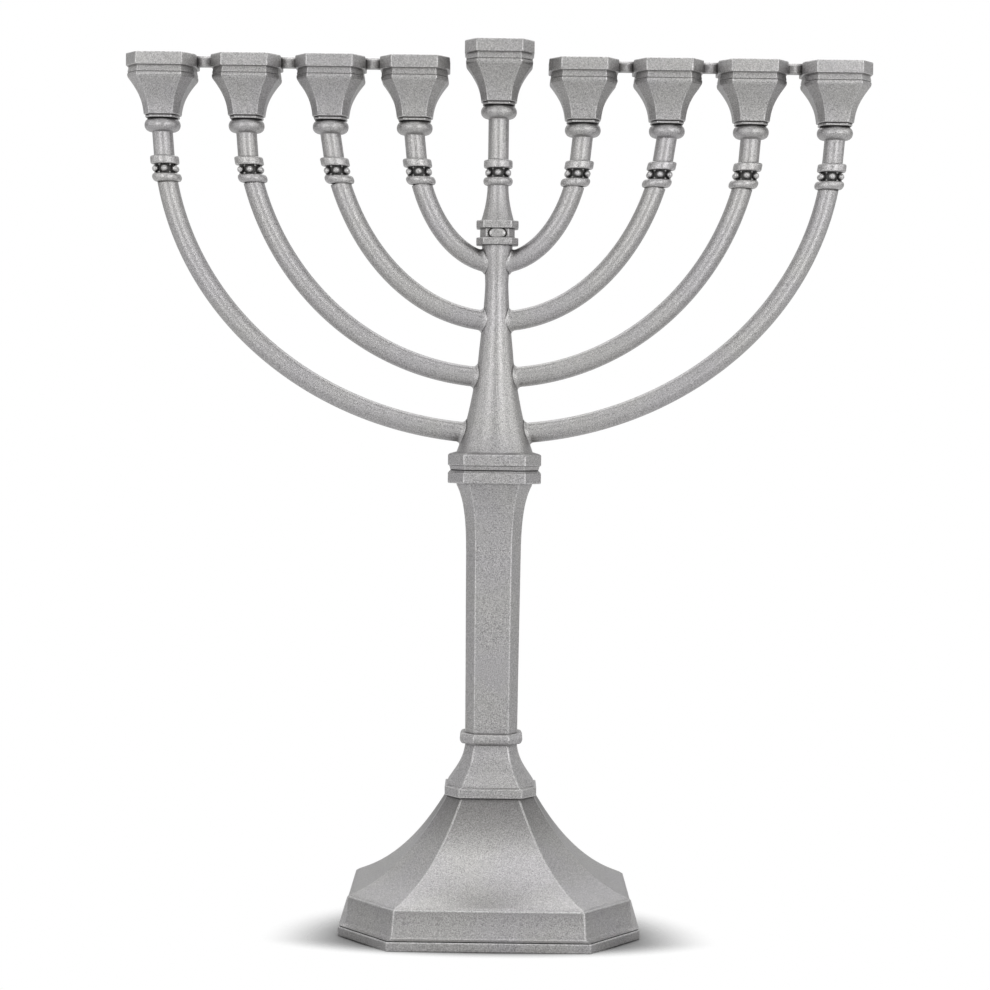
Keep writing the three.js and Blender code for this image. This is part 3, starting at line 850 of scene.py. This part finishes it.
def make_foot():
    half = cad_box("shamash_foot")[1][0]
    foot, top = 241.0, 243.7
    rows = [(0, foot), (half, foot, 0.4), (half, top, 0.45), (0, top)]
    shell = eight_sided(outline(rows, 0.4), 0.5)
    flare = bezier([(5.75, top - 0.2), (4.6, 247.6), (3.7, 250.8), (3.6, FERRULE_Z + 0.2)], 18)
    rows = outline([(0, top - 0.2), *flare, (0, FERRULE_Z + 0.2)], 0.2)
    shell.loft(rows, round_section(ROUND_SIDES))
    plug_foot = cad_foot("shamash_foot")
    plug = outline([(0, plug_foot), (2.2, plug_foot, 0.5), (2.2, foot + 0.5), (0, foot + 0.5)], 0.3)
    shell.loft(plug, round_section(SMALL_SIDES))
    stands_for(shell.build("flared_foot", SMOOTH_PEWTER), "shamash", "cast_pewter", "shamash_foot")


# ---- assembly ----


def make_branch(word, number):
    mirrored = word == "left"
    tag = f"{word}_{number}"

    def lean(z):
        return centre_x(number, z)

    make_arm(number, word)
    make_ferrule(f"ferrule_{tag}", f"beaded_ferrule_{tag}", "branches", lean, mirrored)
    make_stem(f"stem_{tag}", f"knopped_stem_{tag}", "branches", SIDE_RIM_Z, lean, mirrored)
    x = SIDES[word] * CUP_PITCH * number
    make_cup(f"cup_{tag}", f"candle_cup_{tag}", "branches", x, SIDE_RIM_Z)
    if number < len(ARMS):
        make_tie_bar(f"tie_bar_{tag}", f"rim_bar_{tag}")


def make_shamash():
    make_foot()
    make_ferrule("ferrule_shamash", "beaded_ferrule_shamash", "shamash", None, False)
    make_stem("stem_shamash", "knopped_stem_shamash", "shamash", CENTRE_RIM_Z, None, False)
    make_cup("cup_shamash", "candle_cup_shamash", "shamash", 0.0, CENTRE_RIM_Z)


def finish_hardware():
    for node in ("tie_rod", "tie_nut", "tie_washer"):
        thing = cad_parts[node]
        thing.data.materials.clear()
        thing.data.materials.append(STEEL)


# ---- studio ----

CAMERA_PLACE = (0.0, -0.866, 0.177)
CAMERA_YAW = 0.02  # degrees to the right
CAMERA_TILT = 1.846  # degrees down
CAMERA_ROLL = 0.724  # degrees anticlockwise
LENS = 90.87
# Brightness of the surround for the object, by the sine of the direction's height
SURROUND = ((-1, 0.74), (-0.3, 0.76), (0.02, 0.49), (0.3, 0.62), (1, 0.7))
SHADE_CENTRE = -0.03  # the shadow painted on the floor round the foot lies a little in front of the axis
SHADE_FADE = (0.046, 0.078)  # distances over which it fades into the white surround
SHADE_IN_FRONT = 2.7  # how many times shorter the shade is in front than behind
# grey of the shadow painted on the floor round the foot
PAINTED_SHADOW_LEVEL = 0.26
FLOOR_RADIUS = 1.6


def make_camera():
    data = bpy.data.cameras.new("camera")
    data.lens = LENS
    data.sensor_width = 36.0
    data.clip_start, data.clip_end = 0.05, 50.0
    camera = bpy.data.objects.new("camera", data)
    aim = Euler((math.radians(90 - CAMERA_TILT), 0.0, math.radians(-CAMERA_YAW))).to_matrix()
    turn = Matrix.Rotation(math.radians(CAMERA_ROLL), 3, "Z")
    camera.matrix_world = Matrix.Translation(CAMERA_PLACE) @ (aim @ turn).to_4x4()
    bpy.context.scene.collection.objects.link(camera)
    bpy.context.scene.camera = camera


def soft_light(name, place, target, size, power):
    data = bpy.data.lights.new(name, "AREA")
    data.shape = "RECTANGLE"
    data.size, data.size_y = size
    data.energy = power
    light = bpy.data.objects.new(name, data)
    light.location = place
    direction = Vector(target) - Vector(place)
    light.rotation_euler = direction.to_track_quat("-Z", "Y").to_euler()
    bpy.context.scene.collection.objects.link(light)


def make_floor():
    """A round floor that shows only as the soft shade round the foot."""
    radius, rings, sides = FLOOR_RADIUS, 24, 72
    points, faces = [(0.0, 0.0, 0.0)], []
    for i in range(1, rings + 1):
        for j in range(sides):
            turn = 2 * math.pi * j / sides
            r = radius * (i / rings) ** 1.5
            points.append((r * math.cos(turn), r * math.sin(turn), 0.0))
    faces += [(0, 1 + j, 1 + (j + 1) % sides) for j in range(sides)]
    for i in range(rings - 1):
        a, b = 1 + i * sides, 1 + (i + 1) * sides
        faces += [(a + j, b + j, b + (j + 1) % sides, a + (j + 1) % sides) for j in range(sides)]
    mesh = bpy.data.meshes.new("floor")
    mesh.from_pydata(points, [], faces)
    n = Nodes("floor_painted_shadow")
    place = n.add("ShaderNodeTexCoord").outputs["Object"]
    axes = n.add("ShaderNodeSeparateXYZ")
    n.link(place, axes.inputs["Vector"])
    ahead = n.math("SUBTRACT", axes.outputs["Y"], SHADE_CENTRE)
    deep = n.math("MAXIMUM", n.math("MULTIPLY", ahead, -SHADE_IN_FRONT), ahead)
    squares = n.math("ADD", n.math("POWER", axes.outputs["X"], 2.0), n.math("POWER", deep, 2.0))
    away = n.math("SQRT", squares)
    # painted shadow: the floor's dark grey stands in for the shadow round the foot, and turns clear
    # beyond it
    n.shader.inputs["Base Color"].default_value = (*grey(PAINTED_SHADOW_LEVEL), 1.0)
    n.shader.inputs["Roughness"].default_value = 0.9
    clear = n.add("ShaderNodeBsdfTransparent")
    fade = n.add("ShaderNodeMixShader")
    soft = n.add("ShaderNodeMapRange", interpolation_type="SMOOTHSTEP")
    soft.inputs["From Min"].default_value = SHADE_FADE[0]
    soft.inputs["From Max"].default_value = SHADE_FADE[1]
    n.link(away, soft.inputs["Value"])
    n.link(soft.outputs["Result"], fade.inputs["Fac"])
    n.link(n.shader.outputs["BSDF"], fade.inputs[1])
    n.link(clear.outputs["BSDF"], fade.inputs[2])
    n.link(fade.outputs["Shader"], n.tree.nodes["Material Output"].inputs["Surface"])
    mesh.materials.append(n.material)
    floor = bpy.data.objects.new("floor", mesh)
    bpy.context.scene.collection.objects.link(floor)


def make_world():
    """A white surround, seen at full strength by the camera and dimmer by the object."""
    world = bpy.data.worlds.new("surround")
    world.use_nodes = True
    tree = world.node_tree
    background = tree.nodes["Background"]
    background.inputs["Color"].default_value = (1.0, 1.0, 1.0, 1.0)
    path = tree.nodes.new("ShaderNodeLightPath")
    direction = tree.nodes.new("ShaderNodeTexCoord")
    height = tree.nodes.new("ShaderNodeSeparateXYZ")
    tree.links.new(direction.outputs["Generated"], height.inputs["Vector"])
    dim = tree.nodes.new("ShaderNodeValToRGB")
    dim.color_ramp.elements.remove(dim.color_ramp.elements[1])
    dim.color_ramp.elements[0].position = 0.0
    for sine, level in SURROUND:
        ramp = dim.color_ramp.elements
        stop = ramp[0] if sine == -1 else ramp.new((sine + 1) / 2)
        stop.color = (level, level, level, 1.0)
    share = tree.nodes.new("ShaderNodeMath")
    share.operation = "MULTIPLY_ADD"
    share.inputs[1].default_value = 0.5
    share.inputs[2].default_value = 0.5
    tree.links.new(height.outputs["Z"], share.inputs[0])
    tree.links.new(share.outputs[0], dim.inputs["Fac"])
    seen = tree.nodes.new("ShaderNodeMix")
    tree.links.new(path.outputs["Is Camera Ray"], seen.inputs["Factor"])
    tree.links.new(dim.outputs["Color"], seen.inputs["A"])
    seen.inputs["B"].default_value = 1.0
    tree.links.new(seen.outputs["Result"], background.inputs["Strength"])
    bpy.context.scene.world = world


def make_studio():
    make_camera()
    make_world()
    make_floor()
    # Each light: place, what it points at, size in metres, power in watts
    soft_light("top", (0.0, -0.08, 1.4), (0, 0, 0), (1.2, 1.14), 4.0)
    soft_light("front_left", (-0.75, -1.3, 0.45), (0, 0, 0.15), (0.5, 1.0), 3.5)
    soft_light("front_right", (0.75, -1.3, 0.45), (0, 0, 0.15), (0.5, 1.0), 4.2)
    soft_light("side_left", (-1.4, -0.3, 0.6), (0, 0, 0.15), (0.8, 1.0), 1.5)
    soft_light("side_right", (1.4, -0.3, 0.6), (0, 0, 0.15), (0.8, 1.0), 2.5)
    soft_light("back", (0.0, 0.8, 1.2), (0, 0, 0.1), (1.4, 0.6), 3.2)
    scene = bpy.context.scene
    scene.view_settings.view_transform = "Standard"


make_base()
make_neck()
make_column()
make_collar()
make_trunk()
make_seat()
make_shamash()
for word in SIDES:
    for number in ARMS:
        make_branch(word, number)
finish_hardware()
make_studio()
